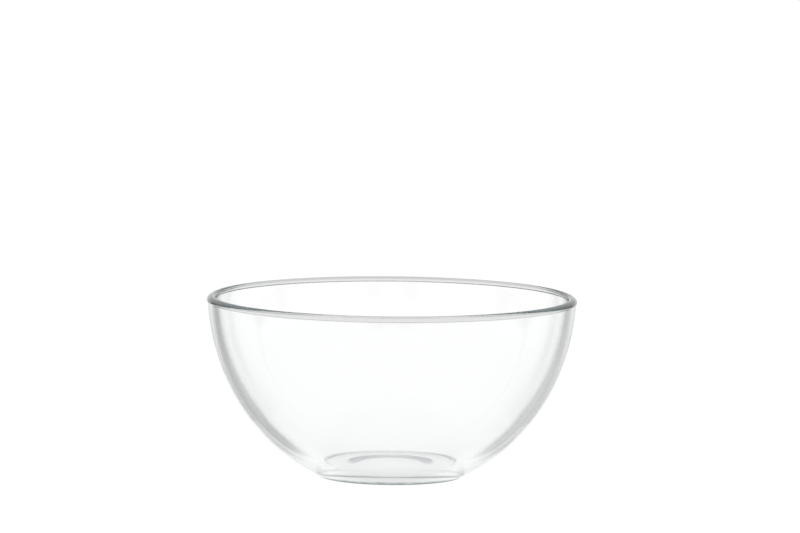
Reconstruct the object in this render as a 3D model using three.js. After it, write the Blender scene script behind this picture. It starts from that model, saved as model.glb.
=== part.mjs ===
// A round bowl of clear pressed glass: one solid, turned about +Z.
// Millimetres. The foot stands on z = 0 and the axis of the bowl is the Z axis.
import * as THREE from "three";

// Overall sizes
const RIM_DIAMETER = 200; // over the bead
const HEIGHT = 98; // from the resting plane to the crest of the rim

// Wall: the outside and the inside are elliptical arcs about one centre on the axis
const WALL_CENTRE_HEIGHT = 102; // where the wall would stand upright, just above the crest
const WALL_AT_RIM = 4.6; // thickness, measured level
const WALL_AT_FLOOR = 6.5; // thickness that the two arcs would have at the axis

// Rim: a bead that stands a little proud of the wall
const BEAD_OVERHANG = 0.3;
const BEAD_FALL = 2.6; // from the crest down to the widest point
const BEAD_SIDE = 2.2; // radius of the round side, above the widest point
const BEAD_RETURN = 0.7; // from the widest point down to the wall
const LIP_RADIUS = 1.9; // inner edge of the crest

// Base
const FOOT_DIAMETER = 76.4; // where the wall turns into the foot
const FOOT_HEIGHT = 0.6;
const FOOT_EDGE = 1.2; // how far the rounded edge runs in from the foot's diameter
const FLOOR_THICKNESS = 5.5; // from the resting plane to the inside floor
const FLOOR_FILLET = 9; // radius between the floor and the inside wall
const RECESS_DIAMETER = 51; // shallow hollow in the underside, so the bowl stands on a ring
const RECESS_DEPTH = 1;
const RECESS_SLOPE = 9; // width of the eased slope round the recess

// Fineness of the turned surface
const TURN_STEPS = 72;
const WALL_STEPS = 14;
const BEAD_STEPS = 4; // on each of its four stretches
const FILLET_STEPS = 4;
const SLOPE_STEPS = 6;
const EDGE_STEPS = 3;

const rimRadius = RIM_DIAMETER / 2;
const footRadius = FOOT_DIAMETER / 2;

// Evenly spaced points of a curve, both ends included.
function sample(pointAt, from, to, steps) {
  const at = (i) => pointAt(THREE.MathUtils.lerp(from, to, i / steps));
  return Array.from({ length: steps + 1 }, (_, i) => at(i));
}

// Points of a circular arc, without its first point.
function arc(r, z, radius, fromAngle, toAngle, steps) {
  const at = (angle) => new THREE.Vector2(r + radius * Math.cos(angle), z + radius * Math.sin(angle));
  return sample(at, fromAngle, toAngle, steps).slice(1);
}

// An ellipse about the axis, centred at WALL_CENTRE_HEIGHT. Angle 0 is level, -90 degrees is straight down.
class WallArc {
  constructor(across, down) {
    this.across = across;
    this.down = down;
  }

  point(angle) {
    const r = this.across * Math.cos(angle);
    const z = WALL_CENTRE_HEIGHT + this.down * Math.sin(angle);
    return new THREE.Vector2(r, z);
  }

  // Unit vector at right angles to the arc, towards the axis.
  inward(angle) {
    const r = -this.down * Math.cos(angle);
    const z = -this.across * Math.sin(angle);
    return new THREE.Vector2(r, z).normalize();
  }

  angleAtHeight(z) {
    return Math.asin((z - WALL_CENTRE_HEIGHT) / this.down);
  }

  points(fromAngle, toAngle, steps) {
    return sample((angle) => this.point(angle), fromAngle, toAngle, steps);
  }
}

// The outside arc runs from the foot up to the bead.
const outerAcross = rimRadius - BEAD_OVERHANG;
const footShare = Math.sqrt(1 - (footRadius / outerAcross) ** 2);
const outerWall = new WallArc(outerAcross, (WALL_CENTRE_HEIGHT - FOOT_HEIGHT) / footShare);
const innerWall = new WallArc(outerAcross - WALL_AT_RIM, outerWall.down - WALL_AT_FLOOR);

// The crest lies where the lip, which is tangent to the inside arc, turns level.
const innerRimAngle = innerWall.angleAtHeight(HEIGHT - LIP_RADIUS);
const crestRadius = innerWall.point(innerRimAngle).x + LIP_RADIUS;

// An eased step from 0 to 1.
function ease(share) {
  return (1 - Math.cos(Math.PI * share)) / 2;
}

// The root of a rising function between two bounds.
function solve(rising, low, high) {
  const HALVINGS = 50;
  for (let i = 0; i < HALVINGS; i++) {
    const middle = (low + high) / 2;
    if (rising(middle) < 0) low = middle;
    else high = middle;
  }
  return (low + high) / 2;
}

// Up the outside of the bead and over the crest: the return out of the wall, the round side, the flatter
// shoulder that the side runs into, and the lip.
function beadPoints() {
  const widest = HEIGHT - BEAD_FALL;
  const start = outerWall.point(outerWall.angleAtHeight(widest - BEAD_RETURN));
  const proud = rimRadius - start.x;
  const leave = (share) => new THREE.Vector2(start.x + proud * ease(share), start.y + BEAD_RETURN * share);
  const sideMiddle = rimRadius - BEAD_SIDE;
  const reach = sideMiddle - crestRadius;
  const shoulder = (BEAD_FALL ** 2 - BEAD_SIDE ** 2 + reach ** 2) / (2 * (BEAD_FALL - BEAD_SIDE));
  const meeting = Math.atan2(shoulder - BEAD_FALL, reach);
  return [
    ...sample(leave, 0, 1, BEAD_STEPS),
    ...arc(sideMiddle, widest, BEAD_SIDE, 0, meeting, BEAD_STEPS),
    ...arc(crestRadius, HEIGHT - shoulder, shoulder, meeting, Math.PI / 2, BEAD_STEPS),
    ...arc(crestRadius, HEIGHT - LIP_RADIUS, LIP_RADIUS, Math.PI / 2, Math.PI, BEAD_STEPS),
  ];
}

// The fillet rolls along the inside arc until it also touches the floor.
function innerPoints() {
  const middleAt = (angle) =>
    innerWall.point(angle).addScaledVector(innerWall.inward(angle), FLOOR_FILLET);
  const rollHeight = FLOOR_THICKNESS + FLOOR_FILLET;
  const touch = solve((angle) => middleAt(angle).y - rollHeight, -Math.PI / 2, innerRimAngle);
  const middle = middleAt(touch);
  const touching = innerWall.point(touch);
  const fromAngle = Math.atan2(touching.y - middle.y, touching.x - middle.x);
  return [
    ...innerWall.points(innerRimAngle, touch, WALL_STEPS).slice(1),
    ...arc(middle.x, middle.y, FLOOR_FILLET, fromAngle, -Math.PI / 2, FILLET_STEPS),
    new THREE.Vector2(0, FLOOR_THICKNESS),
  ];
}

// Underside and foot, from the axis out to where the wall begins.
function footPoints() {
  const slopeStart = RECESS_DIAMETER / 2 - RECESS_SLOPE;
  const slope = (share) =>
    new THREE.Vector2(slopeStart + RECESS_SLOPE * share, RECESS_DEPTH * (1 - ease(share)));
  const edge = new THREE.EllipseCurve(
    footRadius - FOOT_EDGE, FOOT_HEIGHT, FOOT_EDGE, FOOT_HEIGHT, -Math.PI / 2, 0, false);
  return [
    new THREE.Vector2(0, RECESS_DEPTH),
    ...sample(slope, 0, 1, SLOPE_STEPS),
    ...edge.getPoints(EDGE_STEPS),
  ];
}

function outerPoints(beadStart) {
  const from = outerWall.angleAtHeight(FOOT_HEIGHT);
  const to = outerWall.angleAtHeight(beadStart.y);
  return outerWall.points(from, to, WALL_STEPS).slice(1, -1);
}

function bowl() {
  const bead = beadPoints();
  const profile = [...footPoints(), ...outerPoints(bead[0]), ...bead, ...innerPoints()];
  const glass = new THREE.MeshStandardMaterial({
    color: 0xe9efec,
    roughness: 0.04,
    metalness: 0,
    transparent: true,
    opacity: 0.3,
  });
  const mesh = new THREE.Mesh(new THREE.LatheGeometry(profile, TURN_STEPS), glass);
  mesh.name = "bowl";
  mesh.rotation.x = Math.PI / 2; // the lathe turns about Y, and the bowl stands along Z
  return mesh;
}

const group = new THREE.Group();
group.add(bowl());

export default group;
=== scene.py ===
"""A round bowl of clear pressed glass on a white sweep, seen from a little above its rim."""
import logging
import math
from collections.abc import Callable
from dataclasses import dataclass, field
from enum import Enum

import bpy
from mathutils import Matrix, Vector


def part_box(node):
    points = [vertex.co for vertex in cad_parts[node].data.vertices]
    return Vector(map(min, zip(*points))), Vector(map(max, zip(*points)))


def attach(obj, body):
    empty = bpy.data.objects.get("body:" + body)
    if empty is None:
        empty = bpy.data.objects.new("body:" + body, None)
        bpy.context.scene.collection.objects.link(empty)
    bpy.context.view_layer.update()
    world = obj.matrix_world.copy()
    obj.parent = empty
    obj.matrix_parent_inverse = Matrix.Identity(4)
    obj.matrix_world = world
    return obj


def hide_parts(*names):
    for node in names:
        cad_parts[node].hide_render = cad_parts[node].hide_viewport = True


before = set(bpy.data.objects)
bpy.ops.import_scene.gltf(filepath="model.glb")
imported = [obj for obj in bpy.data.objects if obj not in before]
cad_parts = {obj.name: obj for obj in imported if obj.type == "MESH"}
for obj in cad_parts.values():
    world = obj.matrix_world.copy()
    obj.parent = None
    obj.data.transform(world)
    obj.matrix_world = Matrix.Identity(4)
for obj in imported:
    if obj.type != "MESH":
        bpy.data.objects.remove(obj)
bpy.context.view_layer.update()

MM = 0.001
NODE = "bowl"
BODY = "root"

# Enough for light that is caught in the rim
BOUNCES = 64

ProfilePoint = tuple[float, float]
Span = tuple[float, float]
Colour = tuple[float, float, float, float]
Feed = float | Colour | bpy.types.NodeSocket

# Ranges in metres below and above every radius, height and distance near the bowl
BELOW_ALL: Span = (-2.0, -1.0)
ABOVE_ALL: Span = (1.0, 2.0)

log = logging.getLogger("glass_bowl")


class Ray(Enum):
    """The kinds of ray that a stage surface tells apart."""

    CAMERA = "Is Camera Ray"
    GLOSSY = "Is Glossy Ray"
    TRANSMISSION = "Is Transmission Ray"


class Mix(Enum):
    """What a Mix node mixes, with the numbers of its sockets: the share, the two values, and the output."""

    NUMBERS = ("FLOAT", (0, 2, 3), 0)
    COLOURS = ("RGBA", (0, 6, 7), 2)


def grey(tone: float) -> Colour:
    """A neutral colour of one tone."""
    return (tone, tone, tone, 1.0)


def short_of(length: float, gaps: Span) -> Span:
    """The range that ends short of a length by two gaps."""
    return (length - gaps[0], length - gaps[1])


def sample(
    curve: Callable[[float], ProfilePoint], start: float, end: float, steps: int
) -> list[ProfilePoint]:
    """Take evenly spaced points of a curve.

    Args:
        curve: Gives a point for a parameter.
        start: The first parameter.
        end: The last parameter.
        steps: The number of steps between them.

    Returns:
        The points, both ends included.
    """
    return [curve(start + (end - start) * i / steps) for i in range(steps + 1)]


def solve(rising: Callable[[float], float], low: float, high: float) -> float:
    """Find where a rising function crosses zero.

    Args:
        rising: The function.
        low: A parameter below the root.
        high: A parameter above it.

    Returns:
        The root.
    """
    halvings = 60
    for _ in range(halvings):
        middle = (low + high) / 2
        if rising(middle) < 0:
            low = middle
        else:
            high = middle
    return (low + high) / 2


def mesh_object(
    name: str, points: list[Vector], faces: list[tuple[int, ...]], smooth: bool
) -> bpy.types.Object:
    """Make a mesh object in the scene.

    Args:
        name: The name of the object and its mesh.
        points: The corners, in metres.
        faces: The corners of each face, by number.
        smooth: Whether the faces are shaded as one round surface.

    Returns:
        The new object.
    """
    mesh = bpy.data.meshes.new(name)
    mesh.from_pydata(points, [], faces)
    mesh.update()
    mesh.polygons.foreach_set("use_smooth", [smooth] * len(faces))
    piece = bpy.data.objects.new(name, mesh)
    bpy.context.scene.collection.objects.link(piece)
    return piece


@dataclass
class NodeBench:
    """A node tree with short ways to set out its nodes and wire them."""

    tree: bpy.types.NodeTree

    def add(self, kind: str, **settings: object) -> bpy.types.Node:
        """Set out one node.

        Args:
            kind: The node's type.
            settings: Its own settings, by name.

        Returns:
            The node.
        """
        node = self.tree.nodes.new(kind)
        for name, value in settings.items():
            setattr(node, name, value)
        return node

    def feed(self, socket: bpy.types.NodeSocket, value: Feed) -> None:
        """Wire a socket to an output, or set it to a constant.

        Args:
            socket: The input to feed.
            value: The output or the constant.
        """
        if isinstance(value, bpy.types.NodeSocket):
            self.tree.links.new(value, socket)
        else:
            socket.default_value = value

    def maths(self, operation: str, *values: Feed) -> bpy.types.NodeSocket:
        """Work out one sum.

        Args:
            operation: The Math node's operation.
            values: What goes in, in order.

        Returns:
            The output that carries the result.
        """
        node = self.add("ShaderNodeMath", operation=operation)
        for socket, value in zip(node.inputs, values):
            self.feed(socket, value)
        return node.outputs["Value"]

    def between(
        self, value: Feed, start: float, end: float, low: float = 0.0, high: float = 1.0
    ) -> bpy.types.NodeSocket:
        """Carry a value softly from one range to another, and hold it at the ends.

        Args:
            value: The value.
            start: Where the range begins.
            end: Where it ends.
            low: The result at the beginning.
            high: The result at the end.

        Returns:
            The output that carries the result.
        """
        node = self.add("ShaderNodeMapRange", interpolation_type="SMOOTHSTEP", clamp=True)
        for name, number in zip(("From Min", "From Max", "To Min", "To Max"), (start, end, low, high)):
            node.inputs[name].default_value = number
        self.feed(node.inputs["Value"], value)
        return node.outputs["Result"]

    def blend(self, share: Feed, first: Feed, second: Feed) -> bpy.types.NodeSocket:
        """Mix two numbers, by the share of the second."""
        return self._mix(Mix.NUMBERS, share, first, second)

    def tint(self, share: Feed, first: Feed, second: Feed) -> bpy.types.NodeSocket:
        """Mix two colours, by the share of the second."""
        return self._mix(Mix.COLOURS, share, first, second)

    def grey_of(self, tone: Feed) -> bpy.types.NodeSocket:
        """Turn a tone into a neutral colour."""
        return self.tint(tone, grey(0.0), grey(1.0))

    def _mix(self, kind: Mix, *values: Feed) -> bpy.types.NodeSocket:
        """Mix two values of one kind.

        Args:
            kind: What is mixed.
            values: The share of the second value, and the two values.

        Returns:
            The output that carries the mix.
        """
        data_type, inputs, output = kind.value
        node = self.add("ShaderNodeMix", data_type=data_type)
        for place, value in zip(inputs, values):
            self.feed(node.inputs[place], value)
        return node.outputs[output]

    def noise(self, place: bpy.types.NodeSocket, scale: float, detail: float) -> bpy.types.NodeSocket:
        """Lay a cloudy pattern over the surface.

        Args:
            place: The coordinates.
            scale: Clouds in a metre.
            detail: How many finer layers there are.

        Returns:
            The output that carries the pattern, about 0.5 on average.
        """
        node = self.add("ShaderNodeTexNoise")
        node.inputs["Scale"].default_value = scale
        node.inputs["Detail"].default_value = detail
        self.feed(node.inputs["Vector"], place)
        return node.outputs["Fac"]


@dataclass(frozen=True)
class Zone:
    """A ring of the bowl's skin, outside a radius and between two heights. Each edge is a soft range."""

    outside: Span = BELOW_ALL
    above: Span = BELOW_ALL
    below: Span = ABOVE_ALL

    def share(self, bench: NodeBench, place: bpy.types.NodeSocket) -> bpy.types.NodeSocket:
        """How much a place belongs to the zone.

        Args:
            bench: The nodes.
            place: The coordinates.

        Returns:
            The output that carries the share.
        """
        parts = bench.add("ShaderNodeSeparateXYZ")
        bench.feed(parts.inputs[0], place)
        level = bench.add("ShaderNodeVectorMath", operation="MULTIPLY")
        level.inputs[1].default_value = (1.0, 1.0, 0.0)
        bench.feed(level.inputs[0], place)
        reach = bench.add("ShaderNodeVectorMath", operation="LENGTH")
        bench.feed(reach.inputs[0], level.outputs["Vector"])
        out = bench.between(reach.outputs["Value"], *self.outside)
        over = bench.between(parts.outputs["Z"], *self.above)
        under = bench.between(parts.outputs["Z"], *self.below, 1.0, 0.0)
        return bench.maths("MULTIPLY", out, bench.maths("MULTIPLY", over, under))


@dataclass(frozen=True)
class GlassFinish:
    """Clear fire-polished soda-lime glass, with painted shade: greyer where it is looked at along its skin,
    and darker in the zones it is given.
    """

    ior: float = 1.5
    # Painted shade: the glass is greyed where it is seen along its skin, above the lowest part of the bowl
    edge_shade: Colour = (0.77, 0.785, 0.78, 1.0)
    edge_from: float = 0.4
    edge_to: float = 0.85
    skin_shade: Colour = (0.12, 0.13, 0.13, 1.0)
    skin_from: float = 0.72
    skin_to: float = 0.96
    shade_from: float = 14 * MM
    shade_full: float = 34 * MM
    # Painted shade: darker glass on the crest, the bead and the edge of the foot
    crest_shade: Colour = (0.56, 0.57, 0.565, 1.0)
    bead_shade: Colour = (0.63, 0.63, 0.62, 1.0)
    foot_shade: Colour = (0.4, 0.43, 0.44, 1.0)
    cast: Colour = (0.47, 0.58, 0.60, 1.0)
    cast_per_metre: float = 4.2
    polish: float = 0.012
    dulled: float = 0.04
    wash_scale: float = 38.0
    wash_detail: float = 4.0
    wash_range: Span = (0.45, 0.75)
    ripple_scale: float = 55.0
    ripple_detail: float = 1.0
    ripple_height: float = 0.012 * MM

    def material(self, zones: tuple[tuple[Zone, Colour], ...]) -> bpy.types.Material:
        """Make the glass as a procedural material.

        Args:
            zones: The zones that have a painted shade of their own.

        Returns:
            The material.
        """
        glass = bpy.data.materials.new("clear_glass")
        glass.use_nodes = True
        glass.node_tree.nodes.clear()
        bench = NodeBench(glass.node_tree)
        out = bench.add("ShaderNodeOutputMaterial")
        skin = bench.add("ShaderNodeBsdfPrincipled")
        skin.inputs["IOR"].default_value = self.ior
        skin.inputs["Transmission Weight"].default_value = 1.0
        place = bench.add("ShaderNodeTexCoord").outputs["Object"]
        bench.feed(skin.inputs["Base Color"], self._colour(bench, place, zones))
        bench.feed(skin.inputs["Roughness"], self._roughness(bench, place))
        bench.feed(skin.inputs["Normal"], self._ripple(bench, place))
        inside = bench.add("ShaderNodeVolumeAbsorption")
        inside.inputs["Color"].default_value = self.cast
        inside.inputs["Density"].default_value = self.cast_per_metre
        bench.feed(out.inputs["Surface"], skin.outputs["BSDF"])
        bench.feed(out.inputs["Volume"], inside.outputs["Volume"])
        return glass

    def _colour(
        self, bench: NodeBench, place: bpy.types.NodeSocket, zones: tuple[tuple[Zone, Colour], ...]
    ) -> bpy.types.NodeSocket:
        """Clear face on and in the base, with painted shade: grey along the skin of the wall, and darker in
        the zones.

        Args:
            bench: The nodes.
            place: The coordinates.
            zones: The zones and the colours of their painted shade.

        Returns:
            The output that carries the colour.
        """
        # Painted shade along the skin of the wall, above its lowest part
        upper = Zone(above=(self.shade_from, self.shade_full)).share(bench, place)
        along = bench.maths("MULTIPLY", bench.add("ShaderNodeLayerWeight").outputs["Facing"], upper)
        edge = bench.tint(bench.between(along, self.edge_from, self.edge_to), grey(1.0), self.edge_shade)
        colour = bench.tint(bench.between(along, self.skin_from, self.skin_to), edge, self.skin_shade)
        # Painted shade in the crest, bead and foot zones
        for zone, tint in zones:
            colour = bench.tint(zone.share(bench, place), colour, tint)
        return colour

    def _roughness(self, bench: NodeBench, place: bpy.types.NodeSocket) -> bpy.types.NodeSocket:
        """Bright polish with faint clouds of wash marks."""
        clouds = bench.noise(place, self.wash_scale, self.wash_detail)
        return bench.between(clouds, *self.wash_range, self.polish, self.dulled)

    def _ripple(self, bench: NodeBench, place: bpy.types.NodeSocket) -> bpy.types.NodeSocket:
        """The slow waves that a press leaves in glass.

        Args:
            bench: The nodes.
            place: The coordinates.

        Returns:
            The output that carries the normal.
        """
        bump = bench.add("ShaderNodeBump")
        bump.inputs["Strength"].default_value = 1.0
        bump.inputs["Distance"].default_value = self.ripple_height
        bench.feed(bump.inputs["Height"], bench.noise(place, self.ripple_scale, self.ripple_detail))
        return bump.outputs["Normal"]


@dataclass(frozen=True)
class WallArc:
    """One face of the wall: an ellipse about the axis. Angle 0 is level, -90 degrees is straight down."""

    across: float
    down: float
    centre_height: float

    def point(self, angle: float) -> ProfilePoint:
        """The radius and height at an angle."""
        return (self.across * math.cos(angle), self.centre_height + self.down * math.sin(angle))

    def inward(self, angle: float) -> Vector:
        """The unit vector at right angles to the arc, towards the axis."""
        return Vector((-self.down * math.cos(angle), -self.across * math.sin(angle))).normalized()

    def angle_at(self, height: float) -> float:
        """The angle at a height."""
        return math.asin((height - self.centre_height) / self.down)


@dataclass
class Bowl:
    """The bowl: wall, rim bead, floor and foot in one pressing, turned about +Z. Sizes are in metres.

    The shade ranges say how far in from the rim or foot, and how far down from the crest or up from the
    resting plane, the painted grey shade of the glass comes in.
    """

    rim_radius: float
    height: float
    wall_centre_height: float = 102 * MM
    wall_at_rim: float = 4.6 * MM
    wall_at_floor: float = 6.5 * MM
    bead_overhang: float = 0.3 * MM
    bead_fall: float = 2.6 * MM
    bead_side: float = 2.2 * MM
    bead_return: float = 0.7 * MM
    lip_radius: float = 1.9 * MM
    foot_radius: float = 38.2 * MM
    foot_height: float = 0.6 * MM
    foot_edge: float = 1.2 * MM
    floor_thickness: float = 5.5 * MM
    floor_fillet: float = 9 * MM
    recess_radius: float = 25.5 * MM
    recess_depth: float = 1.0 * MM
    recess_edge: float = 9 * MM
    # Where the painted shade of the bead, the crest and the foot's edge lies
    bead_shade_in: Span = (1.8 * MM, 1.0 * MM)
    bead_shade_down: Span = (3.6 * MM, 2.8 * MM)
    crest_shade_down: Span = (1.8 * MM, 0.6 * MM)
    foot_shade_in: Span = (1.6 * MM, 0.9 * MM)
    foot_shade_up: Span = (0.5 * MM, 1.1 * MM)
    turn_steps: int = 288
    wall_steps: int = 90
    bead_steps: int = 14
    fillet_steps: int = 24
    edge_steps: int = 10
    flat_steps: int = 6
    outer: WallArc = field(init=False)
    inner: WallArc = field(init=False)
    lip_angle: float = field(init=False)
    crest_radius: float = field(init=False)

    @classmethod
    def from_frame(cls) -> "Bowl":
        """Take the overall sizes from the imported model."""
        low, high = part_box(NODE)
        return cls(rim_radius=(high[0] - low[0]) / 2, height=high[2] - low[2])

    def __post_init__(self) -> None:
        """Work out the two faces of the wall and the bead between them."""
        across = self.rim_radius - self.bead_overhang
        foot_share = math.sqrt(1 - (self.foot_radius / across) ** 2)
        down = (self.wall_centre_height - self.foot_height) / foot_share
        self.outer = WallArc(across, down, self.wall_centre_height)
        self.inner = WallArc(across - self.wall_at_rim, down - self.wall_at_floor, self.wall_centre_height)
        self.lip_angle = self.inner.angle_at(self.height - self.lip_radius)
        self.crest_radius = self.inner.point(self.lip_angle)[0] + self.lip_radius

    def build(self) -> bpy.types.Object:
        """Turn the profile into a closed mesh that stands for the bowl's solid.

        Returns:
            The bowl, riding on its body.
        """
        profile = self._profile()
        rings: list[list[int]] = []
        points: list[Vector] = []
        for radius, height in profile:
            count = self.turn_steps if radius > 0 else 1
            rings.append(list(range(len(points), len(points) + count)))
            turns = (2 * math.pi * i / count for i in range(count))
            points += [Vector((radius * math.cos(a), radius * math.sin(a), height)) for a in turns]
        faces = [face for low, high in zip(rings, rings[1:]) for face in self._band(low, high)]
        piece = mesh_object("glass_bowl", points, faces, smooth=True)
        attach(piece, BODY)
        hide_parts(NODE)
        return piece

    def dress(self, piece: bpy.types.Object, finish: GlassFinish) -> None:
        """Give the bowl its glass, with painted shade that makes it greyer on the bead, on the crest and at
        the edge of the foot.

        Args:
            piece: The bowl.
            finish: The glass.
        """
        # Zones of painted shade
        bead = Zone(
            outside=short_of(self.rim_radius, self.bead_shade_in),
            above=short_of(self.height, self.bead_shade_down),
        )
        crest = Zone(above=short_of(self.height, self.crest_shade_down))
        edge = Zone(outside=short_of(self.foot_radius, self.foot_shade_in), below=self.foot_shade_up)
        shaded_zones = ((bead, finish.bead_shade), (crest, finish.crest_shade), (edge, finish.foot_shade))
        piece.data.materials.append(finish.material(shaded_zones))

    def _band(self, low: list[int], high: list[int]) -> list[tuple[int, ...]]:
        """Close the strip between two rings of corners, either of which may be one point on the axis.

        Args:
            low: The corners of the first ring, by number.
            high: The corners of the next ring.

        Returns:
            The faces between them.
        """
        faces: list[tuple[int, ...]] = []
        for i in range(self.turn_steps):
            j = (i + 1) % self.turn_steps
            if len(low) == 1:
                faces.append((low[0], high[j], high[i]))
            elif len(high) == 1:
                faces.append((low[i], low[j], high[0]))
            else:
                faces.append((low[i], low[j], high[j], high[i]))
        return faces

    def _profile(self) -> list[ProfilePoint]:
        """The section from the axis under the foot, up the outside and down the inside to the axis."""
        return self._underside() + self._outside() + self._bead() + self._inside()

    def _underside(self) -> list[ProfilePoint]:
        """The recess, its rounded slope, the standing ring and the edge of the foot.

        Returns:
            The points, as radius and height.
        """
        slope_start = self.recess_radius - self.recess_edge
        ring_end = self.foot_radius - self.foot_edge

        def slope(share: float) -> ProfilePoint:
            """The slope round the recess, eased at both ends."""
            rise = 0.5 + 0.5 * math.cos(math.pi * share)
            return (slope_start + self.recess_edge * share, self.recess_depth * rise)

        def edge(angle: float) -> ProfilePoint:
            """The rounded edge of the foot."""
            return (ring_end + self.foot_edge * math.cos(angle), self.foot_height * (1 + math.sin(angle)))

        return [
            *sample(lambda r: (r, self.recess_depth), 0, slope_start, self.flat_steps),
            *sample(slope, 0, 1, self.edge_steps)[1:],
            *sample(lambda r: (r, 0.0), self.recess_radius, ring_end, self.flat_steps)[1:],
            *sample(edge, -math.pi / 2, 0, self.edge_steps)[1:],
        ]

    def _outside(self) -> list[ProfilePoint]:
        """The outside of the wall, between the foot and the bead.

        Returns:
            The points, as radius and height.
        """
        start = self.outer.angle_at(self.foot_height)
        end = self.outer.angle_at(self.height - self.bead_fall - self.bead_return)
        return sample(self.outer.point, start, end, self.wall_steps)[1:-1]

    def _bead(self) -> list[ProfilePoint]:
        """The bead: a return out of the wall, a round side, a flatter shoulder to the crest, and the lip.

        Returns:
            The points, as radius and height.
        """
        widest = self.height - self.bead_fall
        below = self.outer.point(self.outer.angle_at(widest - self.bead_return))[0]
        side_radius = self.rim_radius - self.bead_side
        reach = side_radius - self.crest_radius
        drop = self.bead_fall - self.bead_side
        shoulder = (self.bead_fall**2 - self.bead_side**2 + reach**2) / (2 * drop)
        meeting = math.atan2(shoulder - self.bead_fall, reach)

        def leave(share: float) -> ProfilePoint:
            """The return, eased at both ends."""
            out = 0.5 - 0.5 * math.cos(math.pi * share)
            return (below + (self.rim_radius - below) * out, widest - self.bead_return * (1 - share))

        def side(angle: float) -> ProfilePoint:
            """The side, an arc inside the shoulder's."""
            return (
                side_radius + self.bead_side * math.cos(angle),
                widest + self.bead_side * math.sin(angle),
            )

        def rise(angle: float) -> ProfilePoint:
            """The shoulder, an arc that runs level into the crest."""
            return (
                self.crest_radius + shoulder * math.cos(angle),
                self.height - shoulder * (1 - math.sin(angle)),
            )

        def lip(angle: float) -> ProfilePoint:
            """The inner lip, a quarter of a circle."""
            return (
                self.crest_radius + self.lip_radius * math.cos(angle),
                self.height - self.lip_radius * (1 - math.sin(angle)),
            )

        return [
            *sample(leave, 0, 1, self.bead_steps),
            *sample(side, 0, meeting, self.bead_steps)[1:],
            *sample(rise, meeting, math.pi / 2, self.bead_steps)[1:],
            *sample(lip, math.pi / 2, math.pi, self.bead_steps)[1:],
        ]

    def _inside(self) -> list[ProfilePoint]:
        """The inside of the wall, the fillet that rolls along it, and the flat floor.

        Returns:
            The points, as radius and height.
        """

        def roll_centre(angle: float) -> Vector:
            """The centre of a fillet that touches the wall at an angle."""
            return Vector(self.inner.point(angle)) + self.inner.inward(angle) * self.floor_fillet

        roll_height = self.floor_thickness + self.floor_fillet
        touch = solve(lambda a: roll_centre(a).y - roll_height, -math.pi / 2, self.lip_angle)
        centre = roll_centre(touch)
        leave = Vector(self.inner.point(touch)) - centre

        def fillet(angle: float) -> ProfilePoint:
            """The fillet between the wall and the floor."""
            return (
                centre.x + self.floor_fillet * math.cos(angle),
                centre.y + self.floor_fillet * math.sin(angle),
            )

        return [
            *sample(self.inner.point, self.lip_angle, touch, self.wall_steps)[1:],
            *sample(fillet, math.atan2(leave.y, leave.x), -math.pi / 2, self.fillet_steps)[1:],
            *sample(lambda r: (r, self.floor_thickness), centre.x, 0.0, self.flat_steps)[1:],
        ]


@dataclass(frozen=True)
class SightLine:
    """A line along which the bowl is looked through, white straight behind it, with a dim flag at each side.

    The flags are painted dark bands that lie on the floor and carry on in the sky; only glass sees them,
    and they paint the dark edges that glass shows. Lengths are in metres, and the spread and the
    widening are lengths aside for each length behind the bowl.
    """

    bearing: float
    near: float
    left_tone: float
    right_tone: float
    offset: float = 66 * MM
    spread: float = 0.60
    half_width: float = 7 * MM
    widening: float = 0.09
    outer_stretch: float = 3.0
    fade: float = 30 * MM
    sky_fade: float = 0.1
    least_width: float = 1e-4
    edge: Span = (0.4, 1.4)

    def dimming(
        self, bench: NodeBench, place: bpy.types.NodeSocket, at_infinity: bool
    ) -> tuple[bpy.types.NodeSocket, bpy.types.NodeSocket]:
        """How much of a flag lies at a place on the floor or in a direction of the sky.

        Args:
            bench: The nodes.
            place: The place or direction, seen from the camera's side.
            at_infinity: Whether it is a direction, in which the bowl has no size.

        Returns:
            The outputs that carry the share of a flag and the flag's tone.
        """
        turned = bench.add("ShaderNodeMapping")
        turned.inputs["Rotation"].default_value = (0.0, 0.0, -self.bearing)
        bench.feed(turned.inputs["Vector"], place)
        parts = bench.add("ShaderNodeSeparateXYZ")
        bench.feed(parts.inputs[0], turned.outputs["Vector"])
        aside, behind = parts.outputs["X"], parts.outputs["Y"]
        offset, half_width, near, fade = self.offset, self.half_width, self.near, self.fade
        if at_infinity:
            offset, half_width, near, fade = 0.0, 0.0, 0.0, self.sky_fade
        middle = bench.maths("MULTIPLY_ADD", behind, self.spread, offset)
        wide = bench.maths("MULTIPLY_ADD", behind, self.widening, half_width)
        beyond = bench.maths("SUBTRACT", bench.maths("ABSOLUTE", aside), middle)
        across = bench.maths("DIVIDE", beyond, bench.maths("MAXIMUM", wide, self.least_width))
        outer = bench.maths("DIVIDE", across, self.outer_stretch)
        inner = bench.maths("MULTIPLY", across, -1.0)
        inside = bench.between(bench.maths("MAXIMUM", outer, inner), *self.edge, 1.0, 0.0)
        share = bench.maths("MULTIPLY", inside, bench.between(behind, near, near + fade))
        right = bench.maths("GREATER_THAN", aside, 0.0)
        return share, bench.blend(right, self.left_tone, self.right_tone)


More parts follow.
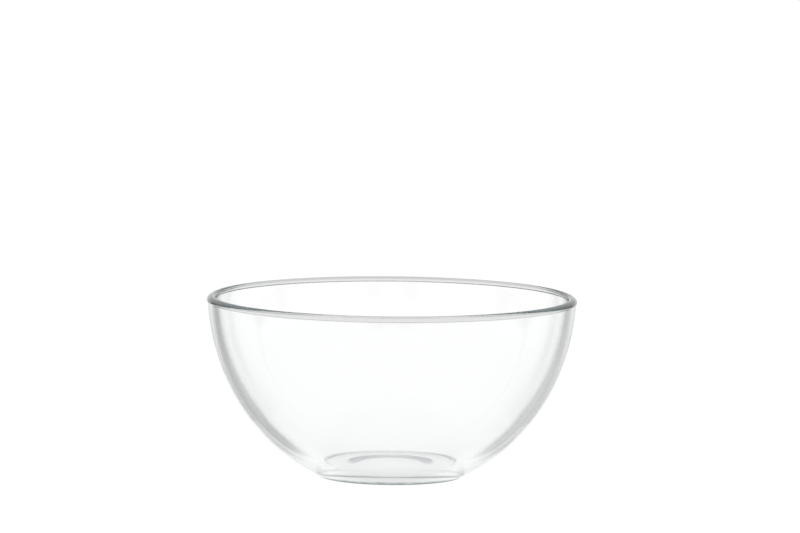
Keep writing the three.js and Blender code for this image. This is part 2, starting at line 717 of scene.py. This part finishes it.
@dataclass(frozen=True)
class Shade:
    """A soft round shade on the floor, under the bowl or ahead of it. It may be open in its middle."""

    depth: float
    outer: Span
    inner: Span = BELOW_ALL
    ahead: float = 0.0

    def tone(self, bench: NodeBench, place: bpy.types.NodeSocket) -> bpy.types.NodeSocket:
        """How bright the floor stays.

        Args:
            bench: The nodes.
            place: The place on the floor, seen from the camera's side.

        Returns:
            The output that carries the tone.
        """
        reach = bench.add("ShaderNodeVectorMath", operation="DISTANCE")
        reach.inputs[1].default_value = (0.0, -self.ahead, 0.0)
        bench.feed(reach.inputs[0], place)
        away = reach.outputs["Value"]
        rise = bench.between(away, *self.inner)
        fall = bench.between(away, *self.outer, 1.0, 0.0)
        return bench.maths("MULTIPLY_ADD", bench.maths("MULTIPLY", rise, fall), -self.depth, 1.0)


@dataclass(frozen=True)
class Studio:
    """A white sweep and a pale room, in which glass also sees dim flags painted beside each line of sight,
    and painted shades on the floor.
    """

    facing: float
    lines: tuple[SightLine, ...]
    floor_half_width: float = 30.0
    floor_drop: float = 0.3 * MM
    floor_glow: float = 0.99
    floor_paint: float = 0.05
    # Painted shade on the floor, which only glass sees: a faint ring under the foot and a patch ahead of the
    # bowl
    shades: tuple[Shade, ...] = (
        Shade(depth=0.04, outer=(36 * MM, 46 * MM), inner=(8 * MM, 24 * MM)),
        Shade(depth=0.18, outer=(34 * MM, 64 * MM), ahead=70 * MM),
    )
    wall_tone: float = 0.97
    overhead: Colour = (0.69, 0.70, 0.70, 1.0)
    low_sky: float = 0.1
    high_sky: float = 0.3
    ceiling_from: float = 0.04
    ceiling_full: float = 0.40
    plain_level: float = 0.9

    def build(self) -> bpy.types.Object:
        """Lay the floor and hang the world round it.

        Returns:
            The floor.
        """
        half = self.floor_half_width
        signs = ((-1, -1), (1, -1), (1, 1), (-1, 1))
        corners = [Vector((x * half, y * half, -self.floor_drop)) for x, y in signs]
        floor = mesh_object("sweep", corners, [(0, 1, 2, 3)], smooth=False)
        floor.rotation_euler.z = self.facing
        floor.data.materials.append(self._floor_material())
        self._hang_world()
        return floor

    def _flagged(
        self, bench: NodeBench, place: bpy.types.NodeSocket, pale: float, at_infinity: bool, gate: Feed
    ) -> bpy.types.NodeSocket:
        """The tone of a surface with the flags painted on it.

        Args:
            bench: The nodes.
            place: The place or direction.
            pale: The tone without flags.
            at_infinity: Whether it is a direction.
            gate: How much the flags count.

        Returns:
            The output that carries the tone.
        """
        tone: Feed = pale
        for line in self.lines:
            share, dim = line.dimming(bench, place, at_infinity)
            tone = bench.blend(bench.maths("MULTIPLY", share, gate), tone, dim)
        return tone

    def _for_each_ray(self, bench: NodeBench, round_glass: bpy.types.NodeSocket) -> bpy.types.NodeSocket:
        """White to the camera, the surroundings to glass, and a plain level to anything matt.

        Args:
            bench: The nodes.
            round_glass: The colour that glass shows.

        Returns:
            The output that carries the colour.
        """
        path = bench.add("ShaderNodeLightPath")
        glass = bench.maths("MAXIMUM", path.outputs[Ray.GLOSSY.value], path.outputs[Ray.TRANSMISSION.value])
        lit = bench.tint(glass, grey(self.plain_level), round_glass)
        return bench.tint(path.outputs[Ray.CAMERA.value], lit, grey(1.0))

    def _floor_material(self) -> bpy.types.Material:
        """White to the camera. Glass sees the painted shades and the painted flags as well.

        Returns:
            The floor's material.
        """
        paint = bpy.data.materials.new("sweep_white")
        paint.use_nodes = True
        paint.node_tree.nodes.clear()
        bench = NodeBench(paint.node_tree)
        place = bench.add("ShaderNodeTexCoord").outputs["Object"]
        seen = self._flagged(bench, place, 1.0, False, 1.0)
        for shade in self.shades:
            seen = bench.maths("MULTIPLY", seen, shade.tone(bench, place))
        glow = bench.add("ShaderNodeEmission")
        glow.inputs["Strength"].default_value = self.floor_glow
        bench.feed(glow.inputs["Color"], self._for_each_ray(bench, bench.grey_of(seen)))
        matt = bench.add("ShaderNodeBsdfDiffuse")
        matt.inputs["Color"].default_value = grey(self.floor_paint)
        both = bench.add("ShaderNodeAddShader")
        bench.feed(both.inputs[0], glow.outputs[0])
        bench.feed(both.inputs[1], matt.outputs[0])
        out = bench.add("ShaderNodeOutputMaterial")
        bench.feed(out.inputs["Surface"], both.outputs[0])
        return paint

    def _hang_world(self) -> None:
        """White to the camera. Glass sees pale walls, the painted flags low down and a dimmer ceiling."""
        world = bpy.data.worlds.new("room")
        bpy.context.scene.world = world
        world.use_nodes = True
        world.node_tree.nodes.clear()
        bench = NodeBench(world.node_tree)
        turned = bench.add("ShaderNodeMapping")
        turned.inputs["Rotation"].default_value = (0.0, 0.0, -self.facing)
        bench.feed(turned.inputs["Vector"], bench.add("ShaderNodeTexCoord").outputs["Generated"])
        parts = bench.add("ShaderNodeSeparateXYZ")
        bench.feed(parts.inputs[0], turned.outputs["Vector"])
        rise = parts.outputs["Z"]
        low = bench.between(rise, self.low_sky, self.high_sky, 1.0, 0.0)
        walls = self._flagged(bench, turned.outputs["Vector"], self.wall_tone, True, low)
        above = bench.between(rise, self.ceiling_from, self.ceiling_full)
        room = bench.tint(above, bench.grey_of(walls), self.overhead)
        backdrop = bench.add("ShaderNodeBackground")
        bench.feed(backdrop.inputs["Color"], self._for_each_ray(bench, room))
        out = bench.add("ShaderNodeOutputWorld")
        bench.feed(out.inputs["Surface"], backdrop.outputs[0])


@dataclass(frozen=True)
class Viewpoint:
    """The camera: a long lens a little above the rim.

    The picture, the rim, the focal length and the pivot are measured in pixels of the photograph.
    """

    picture_width: int = 800
    picture_height: int = 533
    rim_width: float = 370.3
    focal_length: float = 10000.0
    sensor_width: float = 36.0
    tilt: float = math.radians(6.964)
    roll: float = math.radians(0.543)
    azimuth: float = math.radians(225)
    pivot_above_foot: float = 90.0
    pivot_x: float = 391.2
    pivot_y: float = 386.854
    clip_end: float = 200.0

    def build(self, rim_diameter: float) -> bpy.types.Object:
        """Stand the camera so that the bowl falls where it is in the photograph.

        Args:
            rim_diameter: The rim's real width, which sets the distance.

        Returns:
            The camera.
        """
        lens = bpy.data.cameras.new("camera")
        lens.sensor_width = self.sensor_width
        lens.lens = self.sensor_width * self.focal_length / self.picture_width
        lens.clip_end = self.clip_end
        camera = bpy.data.objects.new("camera", lens)
        bpy.context.scene.collection.objects.link(camera)
        bpy.context.scene.camera = camera

        pixel = rim_diameter / self.rim_width
        line = Vector((0.0, math.cos(self.tilt), -math.sin(self.tilt)))
        level_right = Vector((1.0, 0.0, 0.0))
        level_up = level_right.cross(line)
        right = level_right * math.cos(self.roll) + level_up * math.sin(self.roll)
        up = level_up * math.cos(self.roll) - level_right * math.sin(self.roll)
        aside = (self.pivot_x - self.picture_width / 2) / self.focal_length
        above = (self.picture_height / 2 - self.pivot_y) / self.focal_length
        forward = (line - right * aside - up * above).normalized()
        right = (right - forward * right.dot(forward)).normalized()
        up = right.cross(forward)
        pivot = Vector((0.0, 0.0, self.pivot_above_foot * pixel))
        turned = Matrix((right, up, -forward)).transposed().to_4x4()
        standing = Matrix.Translation(pivot - line * self.focal_length * pixel) @ turned
        camera.matrix_world = Matrix.Rotation(self.azimuth, 4, "Z") @ standing
        return camera


def set_light_paths() -> None:
    """Let light pass through all the faces of the glass, and show colours as they are written."""
    scene = bpy.context.scene
    scene.view_settings.view_transform = "Standard"
    scene.cycles.max_bounces = BOUNCES
    scene.cycles.transmission_bounces = BOUNCES
    scene.cycles.glossy_bounces = BOUNCES


def main() -> None:
    """Build the bowl, the studio and the camera in order."""
    logging.basicConfig(level=logging.INFO, format="%(name)s: %(message)s")
    bowl = Bowl.from_frame()
    piece = bowl.build()
    bowl.dress(piece, GlassFinish())
    log.info("%s: %d corners, %d faces", piece.name, len(piece.data.vertices), len(piece.data.polygons))
    viewpoint = Viewpoint()
    # Painted flags, which only glass sees, beside the line of sight and beside two lines at 135 degrees from
    # it
    ahead = SightLine(bearing=0.0, near=-30 * MM, left_tone=0.43, right_tone=0.55)
    aside = (
        SightLine(bearing=math.radians(turn), near=300 * MM, left_tone=0.45, right_tone=0.45)
        for turn in (135, -135)
    )
    floor = Studio(facing=viewpoint.azimuth, lines=(ahead, *aside)).build()
    log.info("%s laid", floor.name)
    camera = viewpoint.build(2 * bowl.rim_radius)
    log.info("%s stands at %s", camera.name, tuple(round(v, 3) for v in camera.location))
    set_light_paths()


if __name__ == "__main__":
    main()
